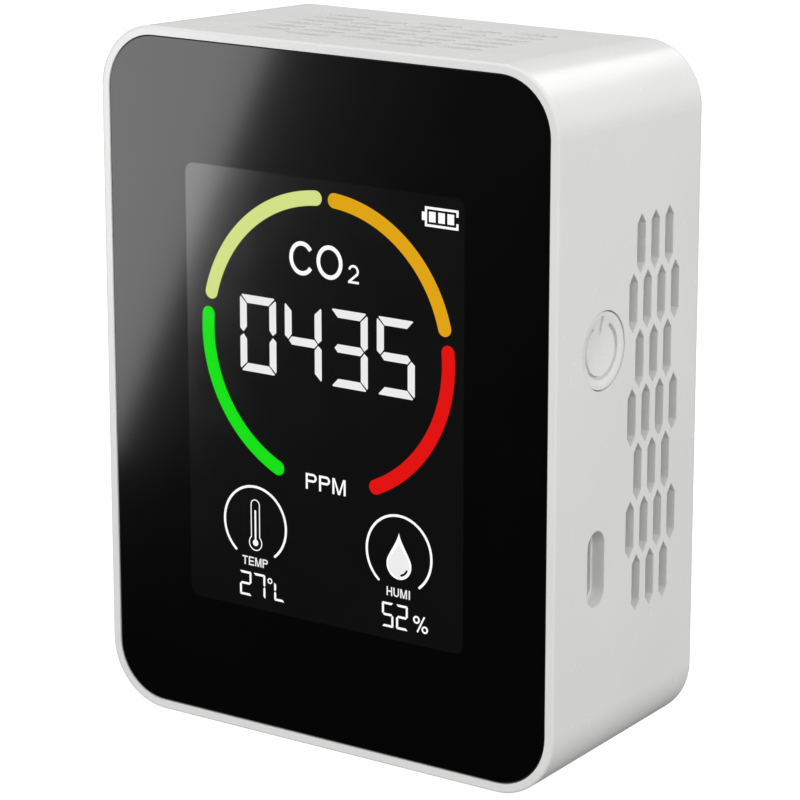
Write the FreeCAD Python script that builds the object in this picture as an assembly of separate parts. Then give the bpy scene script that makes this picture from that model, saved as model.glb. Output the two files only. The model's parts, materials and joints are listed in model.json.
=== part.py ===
import FreeCAD, Part
import math
import os
from FreeCAD import Vector

# A desk air quality monitor: a drafted one-piece case, open at the front, with a black
# display panel set into it.  Millimetres, +Z up, the display faces -Y, and the origin is at
# the middle of the base.  Every piece is written to parts/ as its own STEP file.

RIGHT = Vector(1, 0, 0)
BACKWARD = Vector(0, 1, 0)
UP = Vector(0, 0, 1)

# Case
WIDTH = 70.0
HEIGHT = 91.2
DEPTH = 34.4
DRAFT_X = 0.79           # how far each side closes in from front to back
DRAFT_Z = 1.07           # how far the top and the bottom close in
CORNER_R = 8.5
BACK_CORNER_R = 8.05
BACK_EDGE_R = 1.0
FRONT_EDGE_R = 0.3
WALL = 1.85
RIM = 1.2                # the flat rim round the panel
FRONT_Y = -DEPTH / 2
BACK_Y = DEPTH / 2
MID_Z = HEIGHT / 2
BACK_INNER_Y = BACK_Y - WALL

# Base pad, which keeps the drafted case level
BASE_PAD_W = 48.0
BASE_PAD_D = 27.6
BASE_PAD_R = 4.0
BASE_PAD_TOP = 1.4

# Ribs inside the back that keep the battery in place
RIB_T = 1.0
RIB_GAP = 0.4
RIB_BOTTOM = 12.0
RIB_TOP = 54.0
RIB_SHORT = 2.0          # how far they stop short of the battery's front

# Vent slots: stretched hexagons in staggered rows
SLOT_W = 2.0
SLOT_TIP = 1.25
SLOT_STEP = 3.4          # from slot to slot, across the slots
SIDE_SLOT_L = 7.55
SIDE_VENT_PITCH = 7.25   # from row to row, along the slots
SIDE_VENT_Y = 5.6
SIDE_VENT_Z = MID_Z - 0.12
SIDE_VENT_ROWS = 7
TOP_SLOT_L = 7.1
TOP_VENT_PITCH = 7.3
TOP_VENT_Y = 0.05
TOP_VENT_COLUMNS = 5
TOP_VENT_ROWS = 6

# Display panel and the layers behind it, as depths from front to back
PANEL_RECESS = 0.12
PANEL_GAP = 0.06
PANEL_T = 1.5
TAPE_T = 0.2
FLANGE_T = 1.5
PANEL_Y = FRONT_Y + PANEL_RECESS
TAPE_Y = PANEL_Y + PANEL_T
FLANGE_Y = TAPE_Y + TAPE_T
LEDGE_Y = FLANGE_Y + FLANGE_T
OPENING_W = WIDTH - 2 * RIM
OPENING_H = HEIGHT - 2 * RIM
OPENING_R = CORNER_R - RIM

# Tape ring between the panel and the frame
TAPE_W = 65.0
TAPE_H = 86.2
TAPE_R = 6.0
TAPE_HOLE_W = 49.2
TAPE_HOLE_BOTTOM = 9.2
TAPE_HOLE_TOP = 78.4

# Liquid crystal cell
POLARISER_T = 0.15
GLASS_T = 0.7
FILM_T = 0.1
GLASS_W = 47.0
GLASS_TOP = 77.2
FRONT_GLASS_BOTTOM = 14.2
REAR_GLASS_BOTTOM = 10.8
LCD_OPENING_BOTTOM = 9.8
VIEW_W = 45.5
VIEW_BOTTOM = 15.2
VIEW_TOP = 76.4
LCD_Y = FLANGE_Y + 0.05
FRONT_GLASS_Y = LCD_Y + POLARISER_T
REAR_GLASS_Y = FRONT_GLASS_Y + GLASS_T
REAR_POLARISER_Y = REAR_GLASS_Y + GLASS_T
FILM_Y = REAR_POLARISER_Y + POLARISER_T

# Backlight
TRAY_W = 47.2
TRAY_BOTTOM = 13.5
TRAY_TOP = 77.5
TRAY_WALL = 0.6
TRAY_FOOT_R = 1.2
TRAY_FOOT_PLACES = [(x, z) for x in (-18.0, 18.0) for z in (22.0, 45.0, 70.0)]
TAIL_X = (15.0, 18.0)    # where the lamp strip's tail leaves the tray
FENCE_T = 1.2            # the frame's walls round the tray
FENCE_GAP = 0.2
DIFFUSER_Y = FILM_Y + FILM_T + 0.03
DIFFUSER_T = 0.2
GUIDE_Y = DIFFUSER_Y + DIFFUSER_T
GUIDE_T = 1.8
REFLECTOR_Y = GUIDE_Y + GUIDE_T
REFLECTOR_T = 0.12
TRAY_FLOOR_Y = REFLECTOR_Y + REFLECTOR_T
TRAY_BACK_Y = TRAY_FLOOR_Y + TRAY_WALL
SHEET_W = TRAY_W - 2 * TRAY_WALL - 0.2
SHEET_BOTTOM = TRAY_BOTTOM + TRAY_WALL + 0.1
SHEET_TOP = TRAY_TOP - TRAY_WALL - 0.1
LED_COUNT = 7
LED_PITCH = 6.0
LED_BOARD_T = 0.4
LED_TALL = 0.9

# Main board
BOARD_T = 1.2
BOARD_W = 63.0
BOARD_BOTTOM = 7.0
BOARD_TOP = 84.5
BOARD_REAR_Y = -9.23
BOARD_Y = BOARD_REAR_Y - BOARD_T
BOARD_SCREW_X = 27.5
BOARD_SCREW_ZS = (20.0, 71.0)

# Screws and bosses
CASE_SCREW_X = 27.5
CASE_SCREW_ZS = (10.5, HEIGHT - 10.5)
BOSS_R = 2.7
BOSS_END_Y = 2.9
PILLAR_R = 3.2
PILLAR_END_Y = 3.0
SCREW_SEAT_Y = 8.0
SCREW_WELL_R = 2.4
CASE_SCREW_R = 1.0
CASE_SCREW_HOLE_R = 1.25
CASE_SCREW_TIP_Y = -3.0
CASE_SCREW_HEAD = (2.0, 1.4)    # radius and height
BOARD_POST_R = 2.2
BOARD_SCREW_R = 0.8
BOARD_SCREW_HOLE_R = 1.0
BOARD_SCREW_HEAD = (1.6, 1.1)
THREAD_GAP = 0.01

# Power button and the switch behind it
BUTTON_Y = -6.4
BUTTON_Z = MID_Z + 9.8
BUTTON_HOLE_R = 5.0
BUTTON_GAP = 0.15
BUTTON_R = BUTTON_HOLE_R - BUTTON_GAP
BUTTON_RECESS = 0.2
BUTTON_TRAVEL = 0.35
DISH_R = 4.4
DISH_DEPTH = 0.55
GROOVE_DEPTH = 0.55
GROOVE_W = 0.5
SYMBOL_R = 3.43
SYMBOL_GAP_DEG = 30.0
SYMBOL_BAR = (1.95, 4.35)
FLANGE_FACE_X = 32.6
FLANGE_BACK_X = 31.6
BUTTON_FLANGE_R = 5.9
STEM_R = 1.5
PLUNGER_TIP_X = 30.6
SWITCH_FRONT_X = 29.8
SWITCH_BACK_X = 25.9
SWITCH_H = 2 * (BUTTON_Y - BOARD_REAR_Y)
SWITCH_W = 6.0
SWITCH_WALL = 0.8
SWITCH_ROOM_R = 2.1      # the space for the plunger's shoulder
PLUNGER_R = 1.2
PLUNGER_GAP = 0.08
SHOULDER_R = 1.8
SHOULDER_GAP = 0.1       # between the shoulder and the wall that keeps it in
SPRING_ROOM = 0.6        # left behind the plunger when it is pushed right in
CONTACT_R = 1.6
CONTACT_T = 0.2

# USB-C inlet
USB_Y = -7.6
USB_Z = MID_Z - 17.62
USB_SLOT_W = 4.0
USB_SLOT_H = 9.75
USB_SHELL_W = 2 * (USB_Y - BOARD_REAR_Y)
USB_SHELL_H = 8.94
USB_SHELL_T = 0.3
USB_LIP_X = (32.4, 32.9)  # the thin lip behind the slot, which hides the shell's rim
USB_LIP_GAP = 0.1
USB_LIP_W = 6.0
USB_LIP_H = 12.0
USB_MOUTH_X = 32.35
USB_BACK_X = 25.5
TONGUE_H = 6.69
TONGUE_T = 0.7
TONGUE_TIP_X = USB_MOUTH_X - 0.6
CONTACT_PITCH = 0.5
CONTACT_COUNT = 12

# Battery
CELL_W = 34.0
CELL_BOTTOM = 8.0
CELL_TOP = 58.0
CELL_T = 6.0
CELL_TAPE_T = 0.4
CELL_Y = BACK_INNER_Y - CELL_TAPE_T - CELL_T
BATTERY_BOARD_TOP = CELL_TOP + 3.0
BATTERY_BOARD_MID_Y = CELL_Y + 2.9
LEAD_R = 0.6
PLUG_X = -19.0
PLUG_Z = 53.0
PLUG_BACK_Y = -2.2

# Carbon dioxide sensor
SENSOR_X0 = -16.0
SENSOR_X1 = 17.0
SENSOR_Z0 = 62.0
SENSOR_Z1 = 82.0
SENSOR_BOARD_Y = -5.6
SENSOR_BOARD_T = 1.2
CHAMBER_BACK_Y = 4.6
HEADER_PITCH = 2.54
HEADER_COUNT = 5
HEADER_ZS = (63.4, 80.6)
HEADER_X0 = -4.6
HEADER_PIN_HALF = 0.3
HEADER_HOLE_R = 0.5
HEADER_STRIP_HALF = 1.25

# Temperature and humidity sensor
CLIMATE_X = -27.6
CLIMATE_Z = 46.0
CLIMATE_ISLAND = 8.0     # the part of the board that slits keep cool
CLIMATE_SLIT = 1.0

# Display pins
PIN_COUNT = 23
PIN_PITCH = 2.0
PIN_Z = 10.55
PIN_W = 0.4
PIN_HOLE_R = 0.4


def box(x0, x1, y0, y1, z0, z1):
    """A box between two corners."""
    return Part.makeBox(x1 - x0, y1 - y0, z1 - z0, Vector(x0, y0, z0))


def rod_x(y, z, radius, x0, x1):
    """A cylinder along X."""
    return Part.makeCylinder(radius, x1 - x0, Vector(x0, y, z), Vector(1, 0, 0))


def rod_y(x, z, radius, y0, y1):
    """A cylinder along Y."""
    return Part.makeCylinder(radius, y1 - y0, Vector(x, y0, z), Vector(0, 1, 0))


def fused(shapes):
    """Several overlapping shapes as one solid."""
    return shapes[0].multiFuse(shapes[1:]).removeSplitter()


def rounded_wire(width, height, radius, y, x=0.0, z=MID_Z):
    """A rectangle with round corners, upright, facing along Y."""
    half_w = width / 2
    half_h = height / 2
    diagonal = radius * math.sqrt(0.5)
    edges = []
    for turn in range(4):
        along, up = ((1, 0), (0, 1), (-1, 0), (0, -1))[turn]
        reach, rise = (half_w, half_h) if turn % 2 == 0 else (half_h, half_w)

        def point(forward, sideways):
            dx = along * forward - up * sideways
            dz = up * forward + along * sideways
            return Vector(x + dx, y, z + dz)

        start = point(reach, rise - radius)
        middle = point(reach - radius + diagonal, rise - radius + diagonal)
        end = point(reach - radius, rise)
        edges.append(Part.LineSegment(point(reach, radius - rise), start).toShape())
        edges.append(Part.Arc(start, middle, end).toShape())
    return Part.Wire(edges)


def rounded_slab(width, height, radius, y0, y1, x=0.0, z=MID_Z):
    """A plate with round corners between two depths."""
    face = Part.Face(rounded_wire(width, height, radius, y0, x, z))
    return face.extrude(Vector(0, y1 - y0, 0))


def case_section(y, inset):
    """The drafted case's outline at a depth, moved inward by inset."""
    part_way = (y - FRONT_Y) / DEPTH
    width = WIDTH - 2 * (DRAFT_X * part_way + inset)
    height = HEIGHT - 2 * (DRAFT_Z * part_way + inset)
    radius = CORNER_R + (BACK_CORNER_R - CORNER_R) * part_way - inset
    return rounded_wire(width, height, radius, y)


def side_x(y):
    """Where the outside of the right-hand wall is at a depth."""
    return WIDTH / 2 - DRAFT_X * (y - FRONT_Y) / DEPTH


def edges_at_depth(shape, y):
    """The edges that lie wholly at one depth."""
    found = []
    for edge in shape.Edges:
        limits = edge.BoundBox
        if abs(limits.YMin - y) < 1e-4 and abs(limits.YMax - y) < 1e-4:
            found.append(edge)
    return found


def vent_slot(centre, length, along, across, through):
    """A stretched hexagon pushed through a wall."""
    shoulder = length / 2 - SLOT_TIP
    outline = []
    for sign in (1, -1):
        outline.append(centre + along * (sign * length / 2))
        outline.append(centre + along * (sign * shoulder) + across * (sign * SLOT_W / 2))
        outline.append(centre - along * (sign * shoulder) + across * (sign * SLOT_W / 2))
    outline.append(outline[0])
    return Part.Face(Part.makePolygon(outline)).extrude(through)


def side_vents(sign):
    """The slots in one side wall: rows of three and four by turns."""
    slots = []
    for row in range(SIDE_VENT_ROWS):
        count = 3 if row % 2 == 0 else 4
        z = SIDE_VENT_Z + SIDE_VENT_PITCH * (row - (SIDE_VENT_ROWS - 1) / 2)
        for column in range(count):
            y = SIDE_VENT_Y + SLOT_STEP * (column - (count - 1) / 2)
            centre = Vector(sign * (WIDTH / 2 + 1), y, z)
            through = Vector(-sign * (WALL + 3), 0, 0)
            slots.append(vent_slot(centre, SIDE_SLOT_L, UP, BACKWARD, through))
    return slots


def top_vents():
    """The slots in the top wall: columns that step forward by half a slot by turns."""
    slots = []
    for column in range(TOP_VENT_COLUMNS):
        x = TOP_VENT_PITCH * (column - (TOP_VENT_COLUMNS - 1) / 2)
        first_y = TOP_VENT_Y - SLOT_STEP / 2 * (column % 2)
        for row in range(TOP_VENT_ROWS):
            y = first_y + SLOT_STEP * (row - (TOP_VENT_ROWS - 1) / 2)
            centre = Vector(x, y, HEIGHT + 1)
            through = Vector(0, 0, -WALL - 3.2)
            slots.append(vent_slot(centre, TOP_SLOT_L, RIGHT, BACKWARD, through))
    return slots


def stadium_x(width, height, x0, x1):
    """A round-ended bar along X, centred on the USB-C inlet."""
    radius = width / 2
    straight = height / 2 - radius
    middle = box(x0, x1, USB_Y - radius, USB_Y + radius, USB_Z - straight, USB_Z + straight)
    ends = [rod_x(USB_Y, USB_Z + shift, radius, x0, x1) for shift in (-straight, straight)]
    return fused([middle] + ends)


def case_corners():
    """The four places where the case is screwed together."""
    return [(sign * CASE_SCREW_X, z) for sign in (-1, 1) for z in CASE_SCREW_ZS]


def board_corners():
    """The four places where the main board is screwed to the frame."""
    return [(sign * BOARD_SCREW_X, z) for sign in (-1, 1) for z in BOARD_SCREW_ZS]


def housing():
    """The outer case: five walls in one moulding, open at the front."""
    outer = Part.makeLoft([case_section(FRONT_Y, 0), case_section(BACK_Y, 0)], True, True)
    outer = outer.makeFillet(BACK_EDGE_R, edges_at_depth(outer, BACK_Y))
    outer = outer.makeFillet(FRONT_EDGE_R, edges_at_depth(outer, FRONT_Y))
    inside = [case_section(FRONT_Y, WALL), case_section(BACK_INNER_Y, WALL)]
    shape = outer.cut(Part.makeLoft(inside, True, True))
    shape = shape.cut(rounded_slab(OPENING_W, OPENING_H, OPENING_R, FRONT_Y - 1, LEDGE_Y))
    pad = box(-BASE_PAD_W / 2, BASE_PAD_W / 2, -BASE_PAD_D / 2, BASE_PAD_D / 2, 0, BASE_PAD_TOP)
    upright = [edge for edge in pad.Edges if edge.BoundBox.ZLength > BASE_PAD_TOP / 2]
    pad = pad.makeFillet(BASE_PAD_R, upright)
    additions = [pad]
    for x, z in case_corners():
        additions.append(rod_y(x, z, PILLAR_R, PILLAR_END_Y, BACK_INNER_Y + 0.5))
    rib_x = CELL_W / 2 + RIB_GAP
    for sign in (-1, 1):
        near, far = sorted((sign * rib_x, sign * (rib_x + RIB_T)))
        rib = box(near, far, CELL_Y + RIB_SHORT, BACK_INNER_Y + 0.5, RIB_BOTTOM, RIB_TOP)
        additions.append(rib)
    lip_back_x, lip_front_x = USB_LIP_X
    additions.append(stadium_x(USB_LIP_W, USB_LIP_H, lip_back_x, lip_front_x + 0.4))
    shape = fused([shape] + additions)
    outside_x = WIDTH / 2 + 1
    cutters = side_vents(1) + side_vents(-1) + top_vents()
    cutters.append(stadium_x(USB_SLOT_W, USB_SLOT_H, lip_front_x, outside_x))
    lip_w = USB_SHELL_W + 2 * USB_LIP_GAP
    lip_h = USB_SHELL_H + 2 * USB_LIP_GAP
    cutters.append(stadium_x(lip_w, lip_h, lip_back_x - 1, outside_x))
    cutters.append(rod_x(BUTTON_Y, BUTTON_Z, BUTTON_HOLE_R, WIDTH / 2 - WALL - 2, outside_x))
    for x, z in case_corners():
        cutters.append(rod_y(x, z, SCREW_WELL_R, SCREW_SEAT_Y, BACK_Y + 1))
        cutters.append(rod_y(x, z, CASE_SCREW_HOLE_R, PILLAR_END_Y - 1, SCREW_SEAT_Y + 1))
    return shape.cut(cutters)


def window_panel():
    """The black acrylic front, with its front edge eased."""
    gap = 2 * PANEL_GAP
    shape = rounded_slab(
        OPENING_W - gap, OPENING_H - gap, OPENING_R - PANEL_GAP, PANEL_Y, TAPE_Y
    )
    return shape.makeChamfer(0.12, edges_at_depth(shape, PANEL_Y))


def lcd_opening(y0, y1):
    """The hole in the frame that the display cell stands in."""
    half = GLASS_W / 2 + 0.2
    return box(-half, half, y0, y1, LCD_OPENING_BOTTOM, GLASS_TOP + 0.4)


def panel_tape():
    """The double-sided tape ring that holds the panel to the frame."""
    half = TAPE_HOLE_W / 2
    ring = rounded_slab(TAPE_W, TAPE_H, TAPE_R, TAPE_Y, FLANGE_Y)
    return ring.cut(box(-half, half, TAPE_Y - 1, FLANGE_Y + 1, TAPE_HOLE_BOTTOM, TAPE_HOLE_TOP))


def front_frame():
    """The inner chassis: it carries the panel, the display, the board and the screws."""
    plate = rounded_slab(
        OPENING_W - 0.2, OPENING_H - 0.2, OPENING_R - 0.1, FLANGE_Y, LEDGE_Y
    )
    plate = plate.cut(lcd_opening(FLANGE_Y - 1, LEDGE_Y + 1))
    inner_x = TRAY_W / 2 + FENCE_GAP
    outer_x = inner_x + FENCE_T
    low = TRAY_BOTTOM - FENCE_GAP
    high = TRAY_TOP + FENCE_GAP
    wall_front = LEDGE_Y - 0.5
    wall_back = TRAY_BACK_Y + 0.03
    solids = [plate]
    for sign in (-1, 1):
        near, far = sorted((sign * inner_x, sign * outer_x))
        solids.append(box(near, far, wall_front, wall_back, low - FENCE_T, high + FENCE_T))
    solids.append(box(-outer_x, outer_x, wall_front, wall_back, high, high + FENCE_T))
    solids.append(box(-outer_x, outer_x, FILM_Y + 0.15, wall_back, low - FENCE_T, low))
    for x, z in case_corners():
        solids.append(rod_y(x, z, BOSS_R, LEDGE_Y - 0.5, BOSS_END_Y))
    for x, z in board_corners():
        solids.append(rod_y(x, z, BOARD_POST_R, LEDGE_Y - 0.5, BOARD_Y))
    shape = fused(solids)
    holes = []
    for x, z in case_corners():
        holes.append(rod_y(x, z, CASE_SCREW_R + THREAD_GAP, -4.0, BOSS_END_Y + 1))
    for x, z in board_corners():
        holes.append(rod_y(x, z, BOARD_SCREW_R + THREAD_GAP, LEDGE_Y, BOARD_Y + 1))
    return shape.cut(holes)


def cell_sheet(width, bottom, top, y, thickness):
    """One flat layer of the display, centred across the object."""
    return box(-width / 2, width / 2, y, y + thickness, bottom, top)


def backlight_tray():
    """The white tray that holds the light guide, with feet that touch the board."""
    half = TRAY_W / 2
    shape = box(-half, half, DIFFUSER_Y, TRAY_BACK_Y, TRAY_BOTTOM, TRAY_TOP)
    shape = shape.cut(
        box(
            -half + TRAY_WALL, half - TRAY_WALL, DIFFUSER_Y - 1, TRAY_FLOOR_Y,
            TRAY_BOTTOM + TRAY_WALL, TRAY_TOP - TRAY_WALL,
        )
    )
    feet = []
    for x, z in TRAY_FOOT_PLACES:
        feet.append(rod_y(x, z, TRAY_FOOT_R, TRAY_BACK_Y - 0.3, BOARD_Y))
    shape = fused([shape] + feet)
    tail_x0, tail_x1 = TAIL_X
    return shape.cut(
        box(
            tail_x0 - 0.2, tail_x1 + 0.2, TRAY_FLOOR_Y - 0.5, TRAY_BACK_Y + 1,
            SHEET_BOTTOM - 0.2, SHEET_BOTTOM + 0.3,
        )
    )


def light_guide():
    """The acrylic plate that spreads the light of the lamps along its lower edge."""
    bottom = SHEET_BOTTOM + LED_BOARD_T + LED_TALL + 0.05
    return cell_sheet(SHEET_W, bottom, SHEET_TOP, GUIDE_Y, GUIDE_T)


def led_strip():
    """The narrow board under the light guide, with its tail to the main board."""
    strip = box(-22, 22, GUIDE_Y, REFLECTOR_Y, SHEET_BOTTOM, SHEET_BOTTOM + LED_BOARD_T)
    tail_x0, tail_x1 = TAIL_X
    tail = box(
        tail_x0, tail_x1, REFLECTOR_Y - 0.2, BOARD_Y, SHEET_BOTTOM, SHEET_BOTTOM + 0.2
    )
    return fused([strip, tail])


def backlight_leds():
    """Side-lighting lamps in a row on the strip."""
    z = SHEET_BOTTOM + LED_BOARD_T
    lamps = []
    for index in range(LED_COUNT):
        x = LED_PITCH * (index - (LED_COUNT - 1) / 2)
        lamps.append(box(x - 1.5, x + 1.5, GUIDE_Y + 0.2, REFLECTOR_Y - 0.2, z, z + LED_TALL))
    return Part.makeCompound(lamps)


def pin_places():
    """Where the display's pins stand across the object."""
    return [PIN_PITCH * (index - (PIN_COUNT - 1) / 2) for index in range(PIN_COUNT)]


def lcd_pins():
    """Clip pins that grip the rear glass and are soldered through the main board."""
    pins = []
    grip_y = REAR_GLASS_Y - 0.2
    for x in pin_places():
        x0 = x - PIN_W / 2
        x1 = x + PIN_W / 2
        prong = box(x0, x1, grip_y, REAR_GLASS_Y, PIN_Z - 0.15, PIN_Z + 2.2)
        tail = box(x0, x1, grip_y, BOARD_REAR_Y + 0.7, PIN_Z - 0.2, REAR_GLASS_BOTTOM)
        pins.append(fused([prong, tail]))
    return Part.makeCompound(pins)


def header_places():
    """Where the sensor's header pins stand, as x and z."""
    return [(HEADER_X0 + HEADER_PITCH * n, z) for z in HEADER_ZS for n in range(HEADER_COUNT)]


def main_board():
    """The printed circuit board, notched for the bosses and the button."""
    half = BOARD_W / 2
    shape = box(-half, half, BOARD_Y, BOARD_REAR_Y, BOARD_BOTTOM, BOARD_TOP)
    cutters = []
    y0 = BOARD_Y - 1
    y1 = BOARD_REAR_Y + 1
    notch_x = CASE_SCREW_X - BOSS_R - 0.5
    notch_z = CASE_SCREW_ZS[0] + BOSS_R + 0.5
    for sign in (-1, 1):
        near, far = sorted((sign * notch_x, sign * (half + 1)))
        cutters.append(box(near, far, y0, y1, BOARD_BOTTOM - 1, notch_z))
        cutters.append(box(near, far, y0, y1, HEIGHT - notch_z, BOARD_TOP + 1))
    cutters.append(box(30.6, half + 1, y0, y1, BUTTON_Z - 6.5, BUTTON_Z + 6.5))
    for x, z in board_corners():
        cutters.append(rod_y(x, z, BOARD_SCREW_HOLE_R, y0, y1))
    for x in pin_places():
        cutters.append(rod_y(x, PIN_Z, PIN_HOLE_R, y0, y1))
    for x, z in header_places():
        cutters.append(rod_y(x, z, HEADER_HOLE_R, y0, y1))
    slot_x = CLIMATE_X + 2.4
    low = CLIMATE_Z - CLIMATE_ISLAND / 2
    high = CLIMATE_Z + CLIMATE_ISLAND / 2
    cutters.append(box(slot_x, slot_x + CLIMATE_SLIT, y0, y1, low, high))
    for z in (low, high - CLIMATE_SLIT):
        cutters.append(box(CLIMATE_X - 1.5, slot_x + 0.5, y0, y1, z, z + CLIMATE_SLIT))
    return shape.cut(cutters)


def on_board(x, z, width, height, rise, lift=0.0):
    """A block on the rear face of the main board."""
    y0 = BOARD_REAR_Y + lift
    return box(x - width / 2, x + width / 2, y0, y0 + rise, z - height / 2, z + height / 2)


def microcontroller():
    """A square chip with a row of legs on each side."""
    x, z = 2.0, 40.0
    solids = [on_board(x, z, 10, 10, 1.4, 0.1)]
    for index in range(12):
        shift = 0.8 * (index - 5.5)
        solids.append(on_board(x + shift, z, 0.35, 12.4, 0.3))
        solids.append(on_board(x, z + shift, 12.4, 0.35, 0.3))
    return fused(solids)


def charger_chip():
    """The battery charging chip, with four legs on each side."""
    x, z = 20.0, 38.0
    solids = [on_board(x, z, 4.0, 5.0, 1.4, 0.1)]
    for index in range(4):
        shift = 1.27 * (index - 1.5)
        solids.append(on_board(x, z + shift, 6.2, 0.4, 0.3))
    return fused(solids)


def power_inductor():
    """The boost converter's coil in its square ferrite."""
    block = on_board(20.5, 46.0, 5.0, 5.0, 2.8)
    upright = [edge for edge in block.Edges if edge.BoundBox.YLength > 2]
    return block.makeChamfer(0.7, upright)


def crystal():
    """The timing crystal's small can."""
    return on_board(-8.0, 36.0, 3.2, 2.5, 0.8)


def board_passives():
    """Resistors and capacitors round the chips."""
    places = []
    for index in range(6):
        places.append((-6.0 + 3.2 * index, 30.5, 1.0, 1.8))
        places.append((11.5, 34.0 + 3.0 * index, 1.8, 1.0))
    for index in range(4):
        places.append((-10.0, 41.0 + 2.6 * index, 1.8, 1.0))
        places.append((16.0 + 2.4 * index, 32.0, 1.0, 1.8))
    return Part.makeCompound([on_board(x, z, w, h, 0.7) for x, z, w, h in places])


def buzzer():
    """The round sounder with its hole in the middle."""
    x, z = -19.0, 22.0
    can = rod_y(x, z, 4.8, BOARD_REAR_Y, BOARD_REAR_Y + 4.6)
    can = can.makeFillet(0.4, edges_at_depth(can, BOARD_REAR_Y + 4.6))
    return can.cut(rod_y(x, z, 0.9, BOARD_REAR_Y + 2.0, BOARD_REAR_Y + 6))


def climate_sensor():
    """The temperature and humidity chip, on the island cut into the board."""
    body = on_board(CLIMATE_X, CLIMATE_Z, 2.5, 2.5, 0.9)
    window = rod_y(CLIMATE_X, CLIMATE_Z, 0.5, BOARD_REAR_Y + 0.6, BOARD_REAR_Y + 2)
    return body.cut(window)


def usb_shell():
    """The steel tube of the inlet, closed at the back, with its solder tabs."""
    inner_w = USB_SHELL_W - 2 * USB_SHELL_T
    inner_h = USB_SHELL_H - 2 * USB_SHELL_T
    tube = stadium_x(USB_SHELL_W, USB_SHELL_H, USB_BACK_X, USB_MOUTH_X)
    tube = tube.cut(stadium_x(inner_w, inner_h, USB_BACK_X + USB_SHELL_T, USB_MOUTH_X + 1))
    tabs = []
    for x in (USB_BACK_X + 0.6, USB_MOUTH_X - 3.6):
        for sign in (-1, 1):
            reach = USB_Z + sign * (USB_SHELL_H / 2 + 0.6)
            z0, z1 = sorted((reach, USB_Z + sign * (USB_SHELL_H / 2 - 1.8)))
            tabs.append(box(x, x + 1.4, BOARD_REAR_Y, BOARD_REAR_Y + 0.3, z0, z1))
    return fused([tube] + tabs)


def usb_tongue():
    """The plastic block and tongue inside the inlet."""
    gap = USB_SHELL_T + 0.02
    back_x = USB_BACK_X + gap
    block = stadium_x(USB_SHELL_W - 2 * gap, USB_SHELL_H - 2 * gap, back_x, back_x + 1.8)
    half_t = TONGUE_T / 2
    half_h = TONGUE_H / 2
    tongue = box(
        back_x + 1, TONGUE_TIP_X, USB_Y - half_t, USB_Y + half_t, USB_Z - half_h, USB_Z + half_h
    )
    return fused([block, tongue])


def usb_contacts():
    """The gold strips on both faces of the tongue."""
    strips = []
    x0 = USB_BACK_X + 2.4
    x1 = TONGUE_TIP_X - 0.4
    for index in range(CONTACT_COUNT):
        z = USB_Z + CONTACT_PITCH * (index - (CONTACT_COUNT - 1) / 2)
        for y in (USB_Y - TONGUE_T / 2 - 0.04, USB_Y + TONGUE_T / 2):
            strips.append(box(x0, x1, y, y + 0.04, z - 0.13, z + 0.13))
    return Part.makeCompound(strips)


def power_button():
    """The dished button with its engraved symbol, its collar and its stem."""
    face_x = side_x(BUTTON_Y) - BUTTON_RECESS
    cap = rod_x(BUTTON_Y, BUTTON_Z, BUTTON_R, FLANGE_BACK_X, face_x)
    collar = rod_x(BUTTON_Y, BUTTON_Z, BUTTON_FLANGE_R, FLANGE_BACK_X, FLANGE_FACE_X)
    stem = rod_x(BUTTON_Y, BUTTON_Z, STEM_R, PLUNGER_TIP_X, FLANGE_BACK_X + 0.2)
    shape = fused([cap, collar, stem])
    ball_r = (DISH_R ** 2 + DISH_DEPTH ** 2) / (2 * DISH_DEPTH)
    ball_centre = Vector(face_x - DISH_DEPTH + ball_r, BUTTON_Y, BUTTON_Z)
    ring = rod_x(BUTTON_Y, BUTTON_Z, SYMBOL_R + GROOVE_W / 2, face_x - 2, face_x + 1)
    ring = ring.cut(rod_x(BUTTON_Y, BUTTON_Z, SYMBOL_R - GROOVE_W / 2, face_x - 3, face_x + 2))
    spread = 6 * math.tan(math.radians(SYMBOL_GAP_DEG))
    wedge_points = [
        Vector(face_x - 3, BUTTON_Y, BUTTON_Z),
        Vector(face_x - 3, BUTTON_Y + spread, BUTTON_Z + 6),
        Vector(face_x - 3, BUTTON_Y - spread, BUTTON_Z + 6),
        Vector(face_x - 3, BUTTON_Y, BUTTON_Z),
    ]
    wedge = Part.Face(Part.makePolygon(wedge_points)).extrude(Vector(6, 0, 0))
    ring = ring.cut(wedge)
    half = GROOVE_W / 2
    low, high = SYMBOL_BAR
    bar = box(
        face_x - 2, face_x + 1, BUTTON_Y - half, BUTTON_Y + half, BUTTON_Z + low, BUTTON_Z + high
    )
    groove_ball = Part.makeSphere(ball_r + GROOVE_DEPTH, ball_centre)
    symbol = fused([ring, bar]).common(groove_ball)
    return shape.cut(Part.makeSphere(ball_r, ball_centre)).cut(symbol)


def switch_body():
    """The side-pushed switch on the main board, hollow where its plunger moves."""
    half = SWITCH_W / 2
    block = box(
        SWITCH_BACK_X, SWITCH_FRONT_X, BOARD_REAR_Y, BOARD_REAR_Y + SWITCH_H,
        BUTTON_Z - half, BUTTON_Z + half,
    )
    bore_r = PLUNGER_R + PLUNGER_GAP
    bore = rod_x(BUTTON_Y, BUTTON_Z, bore_r, SWITCH_BACK_X + 1, SWITCH_FRONT_X + 1)
    room_x0 = SWITCH_BACK_X + SWITCH_WALL
    room_x1 = SWITCH_FRONT_X - SWITCH_WALL
    room = rod_x(BUTTON_Y, BUTTON_Z, SWITCH_ROOM_R, room_x0, room_x1)
    legs = []
    for sign in (-1, 1):
        z0, z1 = sorted((BUTTON_Z + sign * (half - 0.5), BUTTON_Z + sign * (half + 0.9)))
        legs.append(box(26.4, 27.4, BOARD_REAR_Y, BOARD_REAR_Y + 0.3, z0, z1))
    return fused([block] + legs).cut([bore, room])


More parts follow.
